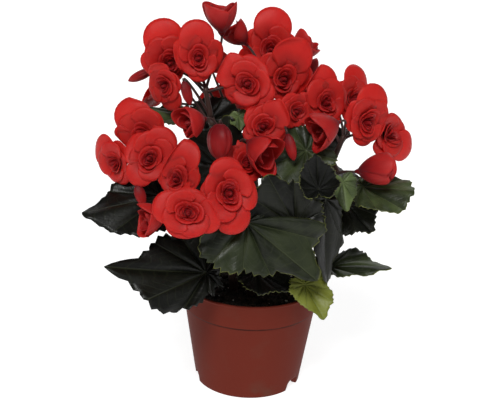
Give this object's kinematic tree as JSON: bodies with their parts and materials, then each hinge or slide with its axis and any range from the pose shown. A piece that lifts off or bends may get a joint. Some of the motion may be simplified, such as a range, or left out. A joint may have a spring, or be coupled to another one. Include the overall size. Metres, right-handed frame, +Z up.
{
  "type": "potted flowering begonia",
  "caption": "Potted begonia with double red blooms and buds above dark toothed leaves, in a terracotta-coloured plastic nursery pot",
  "frame": {"origin": "centre of the pot's underside, on the plane it stands on", "axes": "X to the right seen from the front, Y away from the viewer, Z up"},
  "size_m": [0.265, 0.2326, 0.3223],
  "materials": {
    "pot": "satin",
    "soil": "matte",
    "foliage": "satin",
    "petal": "satin",
    "bud": "satin"
  },
  "bodies": {
    "root": {"pot": "pot", "soil": "soil", "leafy_stem_left": "foliage", "leafy_stem_front": "foliage", "leafy_stem_top_left": "foliage", "leafy_stem_centre": "foliage", "leafy_stem_right": "foliage", "leafy_stem_back": "foliage", "bloom_left_1": "petal", "bloom_left_2": "petal", "bloom_left_3": "petal", "bloom_front_1": "petal", "bloom_front_2": "petal", "bloom_front_3": "petal", "bloom_front_4": "petal", "bloom_top_left_1": "petal", "bloom_top_left_2": "petal", "bloom_top_left_3": "petal", "bloom_centre_1": "petal", "bloom_centre_2": "petal", "bloom_centre_3": "petal", "bloom_centre_4": "petal", "bloom_top_1": "petal", "bloom_right_1": "petal", "bloom_right_2": "petal", "bloom_right_3": "petal", "bloom_right_4": "petal", "bloom_back_1": "petal", "bloom_back_2": "petal", "bloom_back_3": "petal", "bloom_back_4": "petal", "bloom_back_5": "petal", "bud_top_1": "bud", "bud_top_2": "bud", "bud_top_3": "bud", "bud_top_left_1": "bud", "bud_top_left_2": "bud", "bud_right_1": "bud", "bud_right_2": "bud", "bud_left_1": "bud", "bud_left_2": "bud", "bud_centre_1": "bud", "bud_centre_2": "bud", "bud_centre_3": "bud", "bud_centre_4": "bud", "bud_back_1": "bud", "bud_back_2": "bud"}
  },
  "joints": []
}
